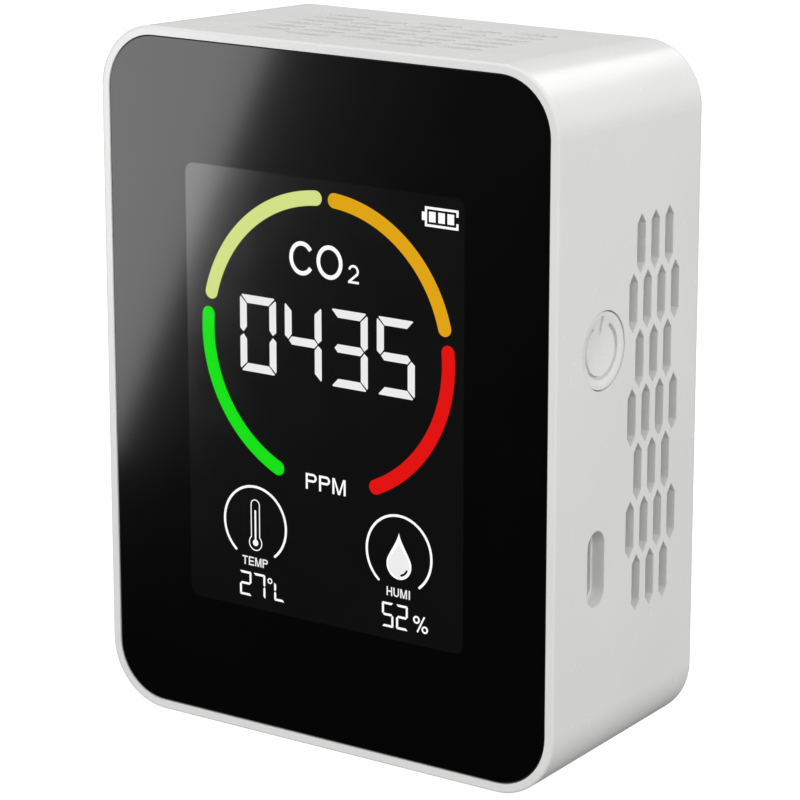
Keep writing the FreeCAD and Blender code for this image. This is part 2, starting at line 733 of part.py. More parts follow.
def switch_plunger():
    """The plunger, with the shoulder that keeps it in the switch."""
    back_x = SWITCH_BACK_X + SWITCH_WALL + SPRING_ROOM + BUTTON_TRAVEL
    shoulder_x = SWITCH_FRONT_X - SWITCH_WALL - SHOULDER_GAP
    pin = rod_x(BUTTON_Y, BUTTON_Z, PLUNGER_R, back_x, PLUNGER_TIP_X)
    shoulder = rod_x(BUTTON_Y, BUTTON_Z, SHOULDER_R, back_x, shoulder_x)
    return fused([pin, shoulder])


def switch_contact():
    """The fixed contact disc at the bottom of the switch."""
    floor_x = SWITCH_BACK_X + SWITCH_WALL
    return rod_x(BUTTON_Y, BUTTON_Z, CONTACT_R, floor_x, floor_x + CONTACT_T)


def battery_connector():
    """The header on the board that the battery plugs into."""
    outer = on_board(PLUG_X, PLUG_Z, 8.0, 4.8, 4.4)
    return outer.cut(on_board(PLUG_X, PLUG_Z, 6.6, 3.6, 6.0, 0.9))


def battery_plug():
    """The plug on the battery's leads."""
    x0 = PLUG_X - 3.2
    x1 = PLUG_X + 3.2
    y0 = BOARD_REAR_Y + 1.0
    body = box(x0, x1, y0, PLUG_BACK_Y, PLUG_Z - 1.7, PLUG_Z + 1.7)
    key = box(
        PLUG_X - 1, PLUG_X + 1, PLUG_BACK_Y - 2.0, PLUG_BACK_Y - 0.6, PLUG_Z + 1.5, PLUG_Z + 2.3
    )
    return fused([body, key])


def corner_room(before, corner, after):
    """How far the arc at a corner starts from it, and the arc's radius."""
    into = corner - before
    away = after - corner
    room = 0.45 * min(into.Length, away.Length)
    turn = into.getAngle(away)
    return room, room / math.tan(turn / 2)


def lead(name, points):
    """A round lead along straight runs joined by tangent arcs."""
    edges = []
    here = points[0]
    radii = []
    for before, corner, after in zip(points, points[1:], points[2:]):
        room, radius = corner_room(before, corner, after)
        radii.append(round(radius, 1))
        enter = corner + (before - corner).normalize() * room
        leave = corner + (after - corner).normalize() * room
        to_centre = ((enter + leave) * 0.5 - corner).normalize()
        reach = math.hypot(room, radius)
        middle = corner + to_centre * (reach - radius)
        edges.append(Part.LineSegment(here, enter).toShape())
        edges.append(Part.Arc(enter, middle, leave).toShape())
        here = leave
    edges.append(Part.LineSegment(here, points[-1]).toShape())
    path = Part.Wire(edges)
    circle = Part.Circle(points[0], points[1] - points[0], LEAD_R)
    tube = path.makePipeShell([Part.Wire([circle.toShape()])], True, False)
    expected = math.pi * LEAD_R ** 2 * path.Length
    print(name, "length", round(path.Length, 1), "arc radii", radii,
          "volume ratio", round(tube.Volume / expected, 4))
    return tube


def red_route():
    """The inner lead's route, from the plug over to the battery's board."""
    x = PLUG_X + 1.0
    end_x = x + 9.5
    return [
        Vector(x, PLUG_BACK_Y, PLUG_Z),
        Vector(x, 3.6, PLUG_Z),
        Vector(x + 0.6, 8.2, PLUG_Z + 6.8),
        Vector(x + 3.6, 11.2, PLUG_Z + 12.6),
        Vector(end_x, BATTERY_BOARD_MID_Y, PLUG_Z + 14.2),
        Vector(end_x, BATTERY_BOARD_MID_Y, BATTERY_BOARD_TOP),
    ]


def black_route():
    """The outer lead's route, which arches over the red one."""
    x = PLUG_X - 1.0
    end_x = x + 14.5
    return [
        Vector(x, PLUG_BACK_Y, PLUG_Z),
        Vector(x, 4.2, PLUG_Z),
        Vector(x + 0.6, 8.4, PLUG_Z + 8.4),
        Vector(x + 4.6, 11.2, PLUG_Z + 15.6),
        Vector(end_x, BATTERY_BOARD_MID_Y, PLUG_Z + 17.6),
        Vector(end_x, BATTERY_BOARD_MID_Y, BATTERY_BOARD_TOP),
    ]


def battery_cell():
    """The pouch cell with its folded seal at the top."""
    half = CELL_W / 2
    pouch = box(-half, half, CELL_Y, CELL_Y + CELL_T, CELL_BOTTOM, CELL_TOP)
    long_edges = [edge for edge in pouch.Edges if edge.BoundBox.ZLength > 10]
    pouch = pouch.makeFillet(1.6, long_edges)
    seal_y = BATTERY_BOARD_MID_Y - BOARD_T / 2
    seal = box(-half + 2, half - 2, seal_y - 0.3, seal_y, CELL_TOP - 1, CELL_TOP + 2.6)
    return fused([pouch, seal])


def battery_board():
    """The protection board on the battery's seal."""
    y0 = BATTERY_BOARD_MID_Y - BOARD_T / 2
    return box(-13, 13, y0, y0 + BOARD_T, CELL_TOP, BATTERY_BOARD_TOP)


def battery_tape():
    """The foam tape that holds the battery to the back wall."""
    return box(-14, 14, BACK_INNER_Y - CELL_TAPE_T, BACK_INNER_Y, CELL_BOTTOM + 3, CELL_TOP - 3)


def header_pins():
    """The pins between the sensor's board and the main board."""
    half = HEADER_PIN_HALF
    y0 = BOARD_Y - 0.25
    y1 = SENSOR_BOARD_Y + SENSOR_BOARD_T + 0.6
    return Part.makeCompound(
        [box(x - half, x + half, y0, y1, z - half, z + half) for x, z in header_places()]
    )


def header_strips():
    """The plastic bars that space the two boards."""
    strips = []
    for row_z in HEADER_ZS:
        x0 = HEADER_X0 - HEADER_PITCH / 2
        x1 = x0 + HEADER_PITCH * HEADER_COUNT
        z0 = row_z - HEADER_STRIP_HALF
        z1 = row_z + HEADER_STRIP_HALF
        strips.append(box(x0, x1, BOARD_REAR_Y, SENSOR_BOARD_Y, z0, z1))
    return Part.makeCompound([strip.cut(header_pins()) for strip in strips])


def sensor_board():
    """The carbon dioxide sensor's own board."""
    y1 = SENSOR_BOARD_Y + SENSOR_BOARD_T
    shape = box(SENSOR_X0, SENSOR_X1, SENSOR_BOARD_Y, y1, SENSOR_Z0, SENSOR_Z1)
    return shape.cut([rod_y(x, z, 0.45, -12, y1 + 1) for x, z in header_places()])


def sensor_chamber():
    """The gilt optical chamber, with a round lamp housing at one end."""
    y0 = SENSOR_BOARD_Y + SENSOR_BOARD_T
    body = box(SENSOR_X0 + 2.5, SENSOR_X1 - 6.0, y0, CHAMBER_BACK_Y, 65.2, 78.8)
    body = body.makeFillet(1.6, [edge for edge in body.Edges if edge.BoundBox.YLength > 5])
    lamp = rod_x(y0 + 4.3, 72.0, 3.4, SENSOR_X1 - 7.0, SENSOR_X1 - 1.5)
    shape = fused([body, lamp])
    return shape.cut(rounded_slab(14.4, 8.4, 4.0, CHAMBER_BACK_Y - 0.3, CHAMBER_BACK_Y + 1, -2, 72))


def sensor_membrane():
    """The white filter over the chamber's gas inlet."""
    return rounded_slab(14.2, 8.2, 3.9, CHAMBER_BACK_Y - 0.3, CHAMBER_BACK_Y + 0.1, -2, 72)


def cross_screw(x, z, seat_y, tip_y, shank_r, head_r, head_t):
    """A pan-head screw whose head faces the back, with a cross recess."""
    head = rod_y(x, z, head_r, seat_y, seat_y + head_t)
    head = head.makeFillet(head_t * 0.45, edges_at_depth(head, seat_y + head_t))
    shank = rod_y(x, z, shank_r, tip_y + shank_r, seat_y + 0.2)
    tip = Part.makeCone(
        shank_r * 0.25, shank_r, shank_r, Vector(x, tip_y, z), Vector(0, 1, 0)
    )
    arm = head_r * 0.62
    thin = head_r * 0.16
    depth = seat_y + head_t * 0.35
    recess = [
        box(x - arm, x + arm, depth, seat_y + head_t + 1, z - thin, z + thin),
        box(x - thin, x + thin, depth, seat_y + head_t + 1, z - arm, z + arm),
    ]
    return fused([head, shank, tip]).cut(recess)


def case_screws():
    """The four long screws that pull the frame into the case."""
    return Part.makeCompound(
        [
            cross_screw(x, z, SCREW_SEAT_Y, CASE_SCREW_TIP_Y, CASE_SCREW_R, *CASE_SCREW_HEAD)
            for x, z in case_corners()
        ]
    )


def board_screws():
    """The four short screws that hold the main board."""
    return Part.makeCompound(
        [
            cross_screw(x, z, BOARD_REAR_Y, LEDGE_Y + 0.2, BOARD_SCREW_R, *BOARD_SCREW_HEAD)
            for x, z in board_corners()
        ]
    )


def pieces():
    """Every piece of the monitor by name."""
    return {
        "housing": housing(),
        "window_panel": window_panel(),
        "panel_tape": panel_tape(),
        "front_frame": front_frame(),
        "lcd_front_polariser": cell_sheet(VIEW_W, VIEW_BOTTOM, VIEW_TOP, LCD_Y, POLARISER_T),
        "lcd_front_glass": cell_sheet(
            GLASS_W, FRONT_GLASS_BOTTOM, GLASS_TOP, FRONT_GLASS_Y, GLASS_T
        ),
        "lcd_rear_glass": cell_sheet(
            GLASS_W, REAR_GLASS_BOTTOM, GLASS_TOP, REAR_GLASS_Y, GLASS_T
        ),
        "lcd_rear_polariser": cell_sheet(
            VIEW_W, VIEW_BOTTOM, VIEW_TOP, REAR_POLARISER_Y, POLARISER_T
        ),
        "colour_film": cell_sheet(VIEW_W, VIEW_BOTTOM, VIEW_TOP, FILM_Y, FILM_T),
        "diffuser_sheet": cell_sheet(SHEET_W, SHEET_BOTTOM, SHEET_TOP, DIFFUSER_Y, DIFFUSER_T),
        "light_guide": light_guide(),
        "reflector_sheet": cell_sheet(
            SHEET_W, SHEET_BOTTOM + 0.5, SHEET_TOP, REFLECTOR_Y, REFLECTOR_T
        ),
        "backlight_tray": backlight_tray(),
        "led_strip": led_strip(),
        "backlight_leds": backlight_leds(),
        "lcd_pins": lcd_pins(),
        "main_board": main_board(),
        "microcontroller": microcontroller(),
        "charger_chip": charger_chip(),
        "power_inductor": power_inductor(),
        "timing_crystal": crystal(),
        "board_passives": board_passives(),
        "buzzer": buzzer(),
        "climate_sensor": climate_sensor(),
        "usb_shell": usb_shell(),
        "usb_tongue": usb_tongue(),
        "usb_contacts": usb_contacts(),
        "power_button": power_button(),
        "switch_body": switch_body(),
        "switch_plunger": switch_plunger(),
        "switch_contact": switch_contact(),
        "battery_connector": battery_connector(),
        "battery_plug": battery_plug(),
        "battery_lead_red": lead("red lead", red_route()),
        "battery_lead_black": lead("black lead", black_route()),
        "battery_cell": battery_cell(),
        "battery_board": battery_board(),
        "battery_tape": battery_tape(),
        "sensor_header_pins": header_pins(),
        "sensor_header_strips": header_strips(),
        "sensor_board": sensor_board(),
        "sensor_chamber": sensor_chamber(),
        "sensor_membrane": sensor_membrane(),
        "case_screws": case_screws(),
        "board_screws": board_screws(),
    }


def main():
    os.makedirs("parts", exist_ok=True)
    for name, shape in pieces().items():
        shape.exportStep(f"parts/{name}.step")
        print(name, "valid", shape.isValid(), "solids", len(shape.Solids), round(shape.Volume, 1))


main()
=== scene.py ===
import json
import math

import bmesh
import bpy
from mathutils import Matrix, Vector
from mathutils.geometry import tessellate_polygon


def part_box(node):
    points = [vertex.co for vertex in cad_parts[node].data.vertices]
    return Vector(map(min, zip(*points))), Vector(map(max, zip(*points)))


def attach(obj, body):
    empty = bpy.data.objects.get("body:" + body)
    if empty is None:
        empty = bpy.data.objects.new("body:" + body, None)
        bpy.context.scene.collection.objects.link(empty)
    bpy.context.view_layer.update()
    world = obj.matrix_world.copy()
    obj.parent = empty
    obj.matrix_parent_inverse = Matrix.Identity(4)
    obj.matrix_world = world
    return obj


# The looks of the air quality monitor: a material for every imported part, the lit marks on the
# display, the floor, the lights and the camera.  Blender's unit is the metre, and the marks
# are laid out in millimetres, across (x) and up (z) on the front of the panel.

MM = 0.001

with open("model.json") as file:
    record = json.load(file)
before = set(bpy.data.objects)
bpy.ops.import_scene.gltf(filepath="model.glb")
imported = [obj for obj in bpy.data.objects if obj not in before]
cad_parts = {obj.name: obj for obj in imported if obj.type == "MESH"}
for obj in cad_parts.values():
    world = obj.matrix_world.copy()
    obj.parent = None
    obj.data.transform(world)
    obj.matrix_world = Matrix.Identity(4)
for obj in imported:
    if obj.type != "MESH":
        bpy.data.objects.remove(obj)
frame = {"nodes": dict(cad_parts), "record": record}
nodes = frame["nodes"]
slot_of_node = {part["node"]: part["material_slot"] for part in frame["record"]["subparts"]}
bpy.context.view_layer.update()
PANEL_FACE_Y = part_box("window_panel")[0].y

# How far the display's film and its marks stand proud of the panel
FILM_RISE = 0.006
MARK_RISE = 0.03

# Camera
CAMERA_AZIMUTH = math.radians(35.55)
CAMERA_ELEVATION = math.radians(14.285)
CAMERA_DISTANCE = 0.44275
CAMERA_AIM = Vector((0.00018, -0.00017, 0.04463))
CAMERA_LENS = 154.21
CAMERA_SHIFT = (-0.002415, -0.017604)

# Lights: how bright the sky is above and below, then the soft lights, each with its centre,
# the way it faces, the way its height runs, its width and height, its power in watts, and
# whether matt surfaces show it and gloss mirrors it
SKY_ABOVE = 0.607
SKY_BELOW = 0.60
SOFTBOXES = (
    ("glare", (-0.1202, -0.1068, 0.0526), (0, 1, 0), (0.4335, 0, 0.9012),
     (0.060, 0.090), 0.054, False, True),
    ("rim", (0.1300, 0.4730, 0.4360), (-0.217, -0.788, -0.575), (0, 0, 1),
     (0.44, 0.18), 0.525, True, True),
    ("key", (0.4100, -0.1750, 0.3200), (-0.75, 0.35, -0.55), (0, 0, 1),
     (0.30, 0.30), 1.054, True, False),
    ("front", (-0.4000, -0.6000, 0.3500), (0.40, 0.60, -0.30), (0, 0, 1),
     (0.40, 0.40), 1.80, True, False),
)

# Floor
FLOOR_R = 6.0
FLOOR_DROP = 0.00002     # how far it lies under the base, so that the two don't fight
FLOOR_GLOW = 0.9

# Display layout, in millimetres.  The gauge's stretches run between two angles from +X.
GAUGE_CENTRE = (0.58, 53.32)
GAUGE_R = 18.65
GAUGE_W = 1.92
GAUGE_SPANS = (
    ("gauge_lime", "display_lime", 94.4, 165.6),
    ("gauge_green", "display_green", 174.8, 245.8),
    ("gauge_orange", "display_orange", 14.4, 85.6),
    ("gauge_red", "display_red", -65.8, 5.2),
)
WINDOW_HALF_W = 21.5
WINDOW_BOTTOM = 16.85
WINDOW_TOP = 74.3
WINDOW_R = 1.3

# The reading in large digits
READING = "0435"
READING_LEFT = -12.91
READING_PITCH = 7.13
READING_BOTTOM = 48.34
READING_SIZE = (5.73, 9.94)
READING_STROKE = 1.06
READING_GAP = 0.16

# The gas's formula over it, each letter with its left edge and width, and its unit below
GAS_LETTERS = (("C", -4.99, 3.9), ("O", -0.74, 4.0))
GAS_BOTTOM = 61.87
GAS_HEIGHT = 4.34
GAS_STROKE = 0.55
SUBSCRIPT_PLACE = (4.125, 61.84)
SUBSCRIPT_SIZE = (1.62, 2.36)
SUBSCRIPT_STROKE = 0.30
UNIT_LEFT = -2.66
UNIT_RIGHT = 3.59
UNIT_BOTTOM = 34.33
UNIT_HEIGHT = 2.08
UNIT_STROKE = 0.30

# Battery symbol
BATTERY_X = (15.69, 20.62)
BATTERY_Z = (70.37, 72.84)
BATTERY_LINE = 0.31
BATTERY_GAP_Z = (71.17, 71.97)   # the break in its right-hand side
BATTERY_TIP_Z = (71.09, 72.14)
BATTERY_TIP_L = 0.44
BATTERY_BAR_Z = (70.96, 72.25)
BATTERY_BAR_W = 0.96
BATTERY_BARS = (16.30, 17.66, 19.01)

# The two small dials, each an open circle round a symbol
DIAL_R = 4.95
DIAL_W = 0.33
DIAL_Z = 28.23
DIAL_OPEN = 39.3         # half the angle left open at the bottom
TEMPERATURE_X = -10.85
HUMIDITY_X = 11.81
THERMOMETER_X = -10.83
THERMOMETER_TOP = 31.50
THERMOMETER_LINE = 0.13
TUBE_W = 1.47
BULB_Z = 25.70
BULB_W = 2.14
COLUMN_BOTTOM = BULB_Z + 0.4
COLUMN_TOP = 29.95
COLUMN_W = 0.26
COLUMN_BULB_R = 0.44
DROP_R = 1.90
DROP_CENTRE = 26.79
DROP_TIP = 30.94
DROP_SHOULDER = 22.0     # the angle where the drop's round part ends
DROP_EDGE_W = 0.3
DROP_EDGE_TIP = 1.1
GLINT_R = 1.34
GLINT_W = 0.28
LAYER = 0.004            # between the drop's layers

# The small values and their labels
SMALL_STROKE = 0.30
SMALL_GAP = 0.04
SMALL_BOTTOM = 18.38
SMALL_HEIGHT = 3.25
LABEL_BOTTOM = 22.55
LABEL_HEIGHT = 1.17
LABEL_STROKE = 0.18
LETTER_SPACE = 0.22      # between capitals, as a share of their width


# ---------------------------------------------------------------- outlines

SAME_POINT = 1e-5        # points nearer than this are one point
MITRE_LIMIT = 0.35       # a sharper turn's mitre isn't drawn out any further


def polar(centre, radius, degrees):
    """A point at an angle from +X round a centre."""
    angle = math.radians(degrees)
    return (centre[0] + radius * math.cos(angle), centre[1] + radius * math.sin(angle))


def arc(centre, radius, start, end, step):
    """Points along an arc from one angle to another, no more than a step apart, in degrees."""
    count = max(2, math.ceil(abs(end - start) / step) + 1)
    return [polar(centre, radius, start + (end - start) * n / (count - 1)) for n in range(count)]


def oval(centre, half_w, half_h, start, end):
    """Points along part of an ellipse."""
    points = arc((0, 0), 1.0, start, end, 6.0)
    return [(centre[0] + half_w * x, centre[1] + half_h * y) for x, y in points]


def rectangle(x0, x1, z0, z1):
    """A rectangle's corners."""
    return [(x0, z0), (x1, z0), (x1, z1), (x0, z1)]


def rounded_rectangle(x0, x1, z0, z1, radius):
    """A rectangle with round corners."""
    corners = (
        (x1 - radius, z0 + radius, -90),
        (x1 - radius, z1 - radius, 0),
        (x0 + radius, z1 - radius, 90),
        (x0 + radius, z0 + radius, 180),
    )
    points = []
    for x, z, start in corners:
        points += arc((x, z), radius, start, start + 90, 9.0)
    return points


def offset_side(points, distance):
    """A line's points moved sideways by a distance, with mitred turns."""
    moved = []
    for index, point in enumerate(points):
        before = points[max(index - 1, 0)]
        after = points[min(index + 1, len(points) - 1)]
        normals = []
        for start, end in ((before, point), (point, after)):
            run = Vector(end) - Vector(start)
            if run.length > SAME_POINT:
                normals.append(Vector((-run.y, run.x)).normalized())
        normal = sum(normals, Vector((0, 0))).normalized()
        reach = distance / max(normal.dot(normals[0]), MITRE_LIMIT)
        moved.append((point[0] + normal.x * reach, point[1] + normal.y * reach))
    return moved


def stroke(points, width, round_ends=False):
    """The outline of a line of even width, with flat or round ends."""
    half = width / 2
    left = offset_side(points, half)
    right = offset_side(points, -half)
    outline = list(right)
    if round_ends:
        run = Vector(points[-1]) - Vector(points[-2])
        facing = math.degrees(math.atan2(run.y, run.x))
        outline += arc(points[-1], half, facing - 90, facing + 90, 15.0)[1:-1]
    outline += reversed(left)
    if round_ends:
        run = Vector(points[0]) - Vector(points[1])
        facing = math.degrees(math.atan2(run.y, run.x))
        outline += arc(points[0], half, facing - 90, facing + 90, 15.0)[1:-1]
    return outline


def ring(centre, outer, inner):
    """A full ring as two half outlines, which meet."""
    halves = []
    for start in (0, 180):
        half = arc(centre, outer, start, start + 180, 20.0)
        half += reversed(arc(centre, inner, start, start + 180, 20.0))
        halves.append(half)
    return halves


def moved(outlines, x, z):
    """Outlines shifted across and up."""
    return [[(x + px, z + pz) for px, pz in outline] for outline in outlines]


# ---------------------------------------------------------------- seven-segment digits

SEGMENTS = {
    "0": "abcdef", "2": "abged", "3": "abgcd", "4": "fgbc", "5": "afgcd", "7": "abc", "L": "fed",
}


def segment_outlines(x, z, size, thick, gap):
    """The seven segments of a digit, with ends mitred where they meet."""
    half_w, half_h = size[0] / 2, size[1] / 2
    half = thick / 2
    nick = gap * 0.7             # how far a mitred end stands back from its mitre
    cut = thick * 0.36           # how far the outer corners are cut off
    tip = nick + thick * 0.03    # the uprights' ends at the middle: tip, outer, inner corner
    outer = thick * 0.54
    inner = thick * 0.76

    def placed(points, across=1, up=1):
        """Points round the digit's centre, mirrored where a sign is -1."""
        return [(x + half_w + across * px, z + half_h + up * pz) for px, pz in points]

    left_end = [
        (cut - half_w, half_h),
        (nick + cut * 0.4 - half_w, half_h - nick),
        (thick + nick - half_w, half_h - thick),
    ]
    bar = left_end + [(-px, pz) for px, pz in reversed(left_end)]
    upright = [
        (-half_w, half_h - nick - cut),
        (-half_w, outer),
        (half - half_w, tip),
        (thick - half_w, inner),
        (thick - half_w, half_h - thick - nick),
        (nick - half_w, half_h - nick - cut * 0.5),
    ]
    shoulder = half_w - thick - nick * 0.4
    middle = [
        (half + nick - half_w, 0),
        (-shoulder, -half),
        (shoulder, -half),
        (half_w - half - nick, 0),
        (shoulder, half),
        (-shoulder, half),
    ]
    return {
        "a": placed(bar),
        "b": placed(upright, -1, 1),
        "c": placed(upright, -1, -1),
        "d": placed(bar, 1, -1),
        "e": placed(upright, 1, -1),
        "f": placed(upright),
        "g": placed(middle),
    }


def digit(character, x, z, size, thick, gap):
    """The lit segments of one digit."""
    outlines = segment_outlines(x, z, size, thick, gap)
    return [outlines[letter] for letter in SEGMENTS[character]]


# ---------------------------------------------------------------- plain capitals

# Each takes its width, height and stroke, and stands with its lower left corner at zero.

def letter_c(width, height, weight):
    half_w = (width - weight) / 2
    half_h = (height - weight) / 2
    return [stroke(oval((width / 2, height / 2), half_w, half_h, 36, 324), weight)]


def letter_o(width, height, weight):
    centre = (width / 2, height / 2)
    halves = []
    for start in (0, 180):
        outer = oval(centre, width / 2, height / 2, start, start + 180)
        inner = oval(centre, width / 2 - weight, height / 2 - weight, start, start + 180)
        halves.append(outer + list(reversed(inner)))
    return halves


def letter_p(width, height, weight):
    half = weight / 2
    bowl_r = (height * 0.55 - weight) / 2
    bowl_z = height - half - bowl_r
    stem = rectangle(0, weight, 0, height)
    bowl = [(weight, height - half)]
    bowl += arc((width - half - bowl_r, bowl_z), bowl_r, 90, -90, 15.0)
    bowl.append((weight, bowl_z - bowl_r))
    return [stem, stroke(bowl, weight)]


def letter_m(width, height, weight):
    centre = width / 2
    slant = weight * 1.05
    left = [
        (weight, height), (weight, height - slant * 1.2), (centre - slant / 2, 0),
        (centre, 0), (centre, slant * 1.1), (weight * 1.25, height),
    ]
    right = [(width - x, z) for x, z in reversed(left)]
    stems = [rectangle(0, weight, 0, height), rectangle(width - weight, width, 0, height)]
    return stems + [left, right]


def letter_t(width, height, weight):
    centre = width / 2
    return [
        rectangle(0, width, height - weight, height),
        rectangle(centre - weight / 2, centre + weight / 2, 0, height - weight),
    ]


def letter_e(width, height, weight):
    middle = height / 2
    return [
        rectangle(0, weight, 0, height),
        rectangle(weight, width, height - weight, height),
        rectangle(weight, width * 0.92, middle - weight / 2, middle + weight / 2),
        rectangle(weight, width, 0, weight),
    ]


def letter_h(width, height, weight):
    middle = height / 2
    return [
        rectangle(0, weight, 0, height),
        rectangle(width - weight, width, 0, height),
        rectangle(weight, width - weight, middle - weight / 2, middle + weight / 2),
    ]


def letter_u(width, height, weight):
    radius = (width - weight) / 2
    path = [(weight / 2, height)]
    path += arc((width / 2, weight / 2 + radius), radius, 180, 360, 15.0)
    path.append((width - weight / 2, height))
    return [stroke(path, weight)]


def letter_i(width, height, weight):
    return [rectangle((width - weight) / 2, (width + weight) / 2, 0, height)]


def numeral_two(width, height, weight):
    half = weight / 2
    radius = width / 2 - half
    centre = (width / 2, height - half - radius)
    path = arc(centre, radius, 165, -30, 12.0)
    path.append((half * 1.3, half * 1.6))
    return [stroke(path, weight), rectangle(0, width, 0, weight)]


LETTERS = {
    "C": letter_c, "O": letter_o, "P": letter_p, "M": letter_m, "T": letter_t, "E": letter_e,
    "H": letter_h, "U": letter_u, "I": letter_i, "2": numeral_two,
}


def word(text, x0, x1, z, height, weight):
    """Capitals spread evenly between two edges.  M is wider and I narrower than the rest."""
    shares = [{"M": 1.2, "I": 0.4, "O": 1.1}.get(letter, 1.0) for letter in text]
    unit = (x1 - x0) / (sum(shares) + LETTER_SPACE * (len(text) - 1))
    outlines = []
    x = x0
    for letter, share in zip(text, shares):
        outlines += moved(LETTERS[letter](unit * share, height, weight), x, z)
        x += unit * (share + LETTER_SPACE)
    return outlines


# ---------------------------------------------------------------- pieces from outlines

def signed_area(points):
    """Twice the area inside an outline, positive when it runs anticlockwise."""
    total = 0.0
    for (x0, z0), (x1, z1) in zip(points, points[1:] + points[:1]):
        total += x0 * z1 - x1 * z0
    return total


def add_prism(mesh, points, y_back, y_front):
    """Adds a closed plate of an outline's shape to a mesh under construction."""
    outline = [p for n, p in enumerate(points) if math.dist(p, points[n - 1]) > SAME_POINT]
    if signed_area(outline) < 0:
        outline.reverse()
    front = [mesh.verts.new((x * MM, y_front, z * MM)) for x, z in outline]
    back = [mesh.verts.new((x * MM, y_back, z * MM)) for x, z in outline]
    flat = [Vector((x, z, 0)) for x, z in outline]
    for a, b, c in tessellate_polygon([flat]):
        corners = [outline[a], outline[b], outline[c]]
        if signed_area(corners) < 0:
            b, c = c, b
        mesh.faces.new((front[a], front[b], front[c]))
        mesh.faces.new((back[c], back[b], back[a]))
    count = len(outline)
    for n in range(count):
        m = (n + 1) % count
        mesh.faces.new((front[n], back[n], back[m], front[m]))


def display_piece(name, outlines, slot, rise=MARK_RISE, lift=0.0):
    """A thin raised mark on the front of the panel, which rides with the case."""
    mesh = bmesh.new()
    y_back = PANEL_FACE_Y - lift * MM
    for points in outlines:
        add_prism(mesh, points, y_back, PANEL_FACE_Y - rise * MM)
    data = bpy.data.meshes.new(name)
    mesh.to_mesh(data)
    mesh.free()
    piece = bpy.data.objects.new(name, data)
    bpy.context.scene.collection.objects.link(piece)
    data.materials.append(materials[slot])
    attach(piece, "case")


# ---------------------------------------------------------------- materials

def new_material(name):
    """A node material and its shader."""
    material = bpy.data.materials.new(name)
    material.use_nodes = True
    return material, material.node_tree, material.node_tree.nodes["Principled BSDF"]


def place(tree):
    """Positions in the shared frame, in metres, for patterns."""
    return tree.nodes.new("ShaderNodeTexCoord").outputs["Object"]


def noise(tree, scale, detail=2.0, roughness=0.5):
    """A noise pattern with features about 1 / scale metres across."""
    node = tree.nodes.new("ShaderNodeTexNoise")
    node.inputs["Scale"].default_value = scale
    node.inputs["Detail"].default_value = detail
    node.inputs["Roughness"].default_value = roughness
    tree.links.new(place(tree), node.inputs["Vector"])
    return node.outputs["Fac"]


def ranged(tree, value, low, high):
    """A pattern's 0.3 to 0.7 spread over another range."""
    node = tree.nodes.new("ShaderNodeMapRange")
    node.inputs["From Min"].default_value = 0.3
    node.inputs["From Max"].default_value = 0.7
    node.inputs["To Min"].default_value = low
    node.inputs["To Max"].default_value = high
    tree.links.new(value, node.inputs["Value"])
    return node.outputs["Result"]


def mottle(tree, shader, colour, other, value):
    """Colours the surface between two close shades."""
    mix = tree.nodes.new("ShaderNodeMix")
    mix.data_type = "RGBA"
    mix.inputs["A"].default_value = (*colour, 1)
    mix.inputs["B"].default_value = (*other, 1)
    tree.links.new(value, mix.inputs["Factor"])
    tree.links.new(mix.outputs["Result"], shader.inputs["Base Color"])


def bump(tree, shader, height, depth, edge=0.0):
    """Bumps of a depth in metres, on edges softened by a radius."""
    node = tree.nodes.new("ShaderNodeBump")
    node.inputs["Distance"].default_value = depth
    node.inputs["Strength"].default_value = 1.0
    tree.links.new(height, node.inputs["Height"])
    if edge:
        soft = tree.nodes.new("ShaderNodeBevel")
        soft.samples = 6
        soft.inputs["Radius"].default_value = edge
        tree.links.new(soft.outputs["Normal"], node.inputs["Normal"])
    tree.links.new(node.outputs["Normal"], shader.inputs["Normal"])


def plastic(name, colour, roughness, grain=4000.0, depth=0.000004, edge=0.0):
    """Moulded plastic: a fine grain, and a slow drift in shade and gloss."""
    material, tree, shader = new_material(name)
    drift = noise(tree, 55.0, 3.0)
    darker = tuple(c * 0.965 for c in colour)
    mottle(tree, shader, colour, darker, ranged(tree, drift, 0.0, 1.0))
    patch = noise(tree, 260.0, 4.0, 0.6)
    gloss = ranged(tree, patch, roughness - 0.03, roughness + 0.03)
    tree.links.new(gloss, shader.inputs["Roughness"])
    bump(tree, shader, noise(tree, grain, 3.0, 0.6), depth, edge)
    return material


def metal(name, colour, roughness, brushed=None):
    """Plated metal, brushed along an axis where one is given."""
    material, tree, shader = new_material(name)
    shader.inputs["Metallic"].default_value = 1.0
    darker = tuple(c * 0.8 for c in colour)
    grain = tree.nodes.new("ShaderNodeTexNoise")
    grain.inputs["Scale"].default_value = 1.0
    grain.inputs["Detail"].default_value = 3.0
    stretch = tree.nodes.new("ShaderNodeVectorMath")
    stretch.operation = "MULTIPLY"
    scales = [4000.0, 4000.0, 4000.0]
    if brushed is not None:
        scales[brushed] = 250.0
    stretch.inputs[1].default_value = scales
    tree.links.new(place(tree), stretch.inputs[0])
    tree.links.new(stretch.outputs["Vector"], grain.inputs["Vector"])
    value = grain.outputs["Fac"]
    mottle(tree, shader, colour, darker, ranged(tree, value, 0.0, 1.0))
    gloss = ranged(tree, value, roughness - 0.06, roughness + 0.08)
    tree.links.new(gloss, shader.inputs["Roughness"])
    bump(tree, shader, value, 0.000003)
    return material


